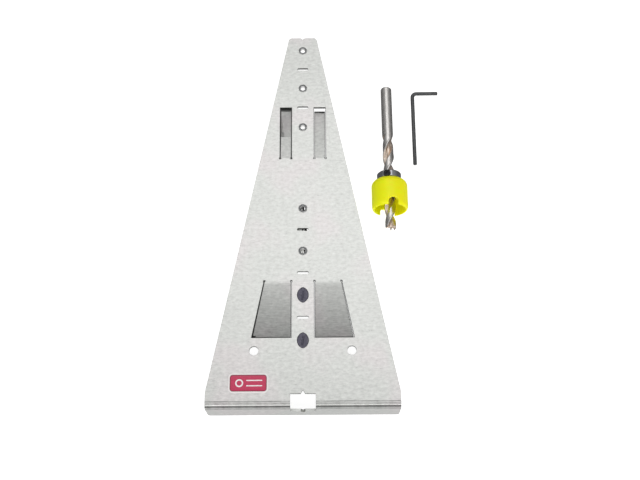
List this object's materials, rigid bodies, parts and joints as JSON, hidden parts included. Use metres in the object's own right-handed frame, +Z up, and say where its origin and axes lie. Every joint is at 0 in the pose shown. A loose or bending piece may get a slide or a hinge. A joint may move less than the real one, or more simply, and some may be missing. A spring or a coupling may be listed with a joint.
{
  "type": "drilling jig",
  "caption": "Tapered sheet-steel drilling jig with folded fence, sight window and guide bushes, with a stop drill and hex key lying beside it.",
  "frame": {"origin": "under the middle of the whole set, on the surface that the fence, the sheet's tip, the drill and the key rest on", "axes": "+Z up, +Y from the fence to the sheet's tip, +X to the side where the drill and the key lie"},
  "size_m": [0.1652, 0.2822, 0.0274],
  "materials": {
    "sheet_steel": "rolled stainless sheet, satin with faint cross streaks",
    "bush_steel": "dark hardened steel, turned",
    "plug_rubber": "dark grey-violet moulded rubber",
    "label_film": "printed crimson film with a pale border",
    "drill_steel": "ground high-speed steel with warm bronze-tinted flutes",
    "collar_steel": "turned and polished steel",
    "black_steel": "black oxide",
    "bearing_steel": "ground bearing steel",
    "cage_brass": "pressed brass",
    "sleeve_plastic": "fluorescent yellow moulded plastic, slightly glossy",
    "key_steel": "dark grey oxide, satin"
  },
  "bodies": {
    "jig": {"jig_plate": "sheet_steel", "guide_bush_1": "bush_steel", "guide_bush_2": "bush_steel", "guide_bush_3": "bush_steel", "guide_bush_4": "bush_steel", "guide_bush_5": "bush_steel", "grip_plug_lower": "plug_rubber", "grip_plug_upper": "plug_rubber", "label": "label_film"},
    "drill": {"drill_bit": "drill_steel"},
    "stop": {"stop_collar": "collar_steel", "bearing_inner_ring": "bearing_steel", "retaining_ring": "black_steel"},
    "clamp_front": {"clamp_screw_front": "black_steel"},
    "clamp_rear": {"clamp_screw_rear": "black_steel"},
    "cage": {"ball_cage": "cage_brass", "bearing_ball_1": "bearing_steel", "bearing_ball_2": "bearing_steel", "bearing_ball_3": "bearing_steel", "bearing_ball_4": "bearing_steel", "bearing_ball_5": "bearing_steel", "bearing_ball_6": "bearing_steel", "bearing_ball_7": "bearing_steel"},
    "sleeve": {"stop_sleeve": "sleeve_plastic", "bearing_outer_ring": "bearing_steel"},
    "key": {"hex_key": "key_steel"}
  },
  "joints": [
    {"name": "drill_lift", "type": "slide", "parent": "jig", "child": "drill", "axis": [0, 0, 1], "range_m": [0, 0.1]},
    {"name": "stop_slide", "type": "slide", "parent": "drill", "child": "stop", "axis": [0, -0.9938, 0.1114], "range_m": [-0.015, 0.012]},
    {"name": "clamp_front_turn", "type": "hinge", "parent": "stop", "child": "clamp_front", "pos_m": [0.04414, 0.02541, 0.01209], "axis": [-0.2301, 0.1084, 0.9671], "range_deg": [0, 720]},
    {"name": "clamp_rear_turn", "type": "hinge", "parent": "stop", "child": "clamp_rear", "pos_m": [0.04414, 0.02541, 0.01209], "axis": [0.2301, -0.1084, -0.9671], "range_deg": [0, 720]},
    {"name": "sleeve_spin", "type": "hinge", "parent": "stop", "child": "sleeve", "pos_m": [0.04414, 0.0175, 0.01298], "axis": [0, -0.9938, 0.1114], "continuous": true},
    {"name": "cage_spin", "type": "hinge", "parent": "stop", "child": "cage", "pos_m": [0.04414, 0.0175, 0.01298], "axis": [0, -0.9938, 0.1114], "continuous": true},
    {"name": "key_lift", "type": "slide", "parent": "jig", "child": "key", "axis": [0, 0, 1], "range_m": [0, 0.1]}
  ],
  "couplings": [
    {"joint": "cage_spin", "follows": "sleeve_spin", "ratio": 0.5636}
  ]
}
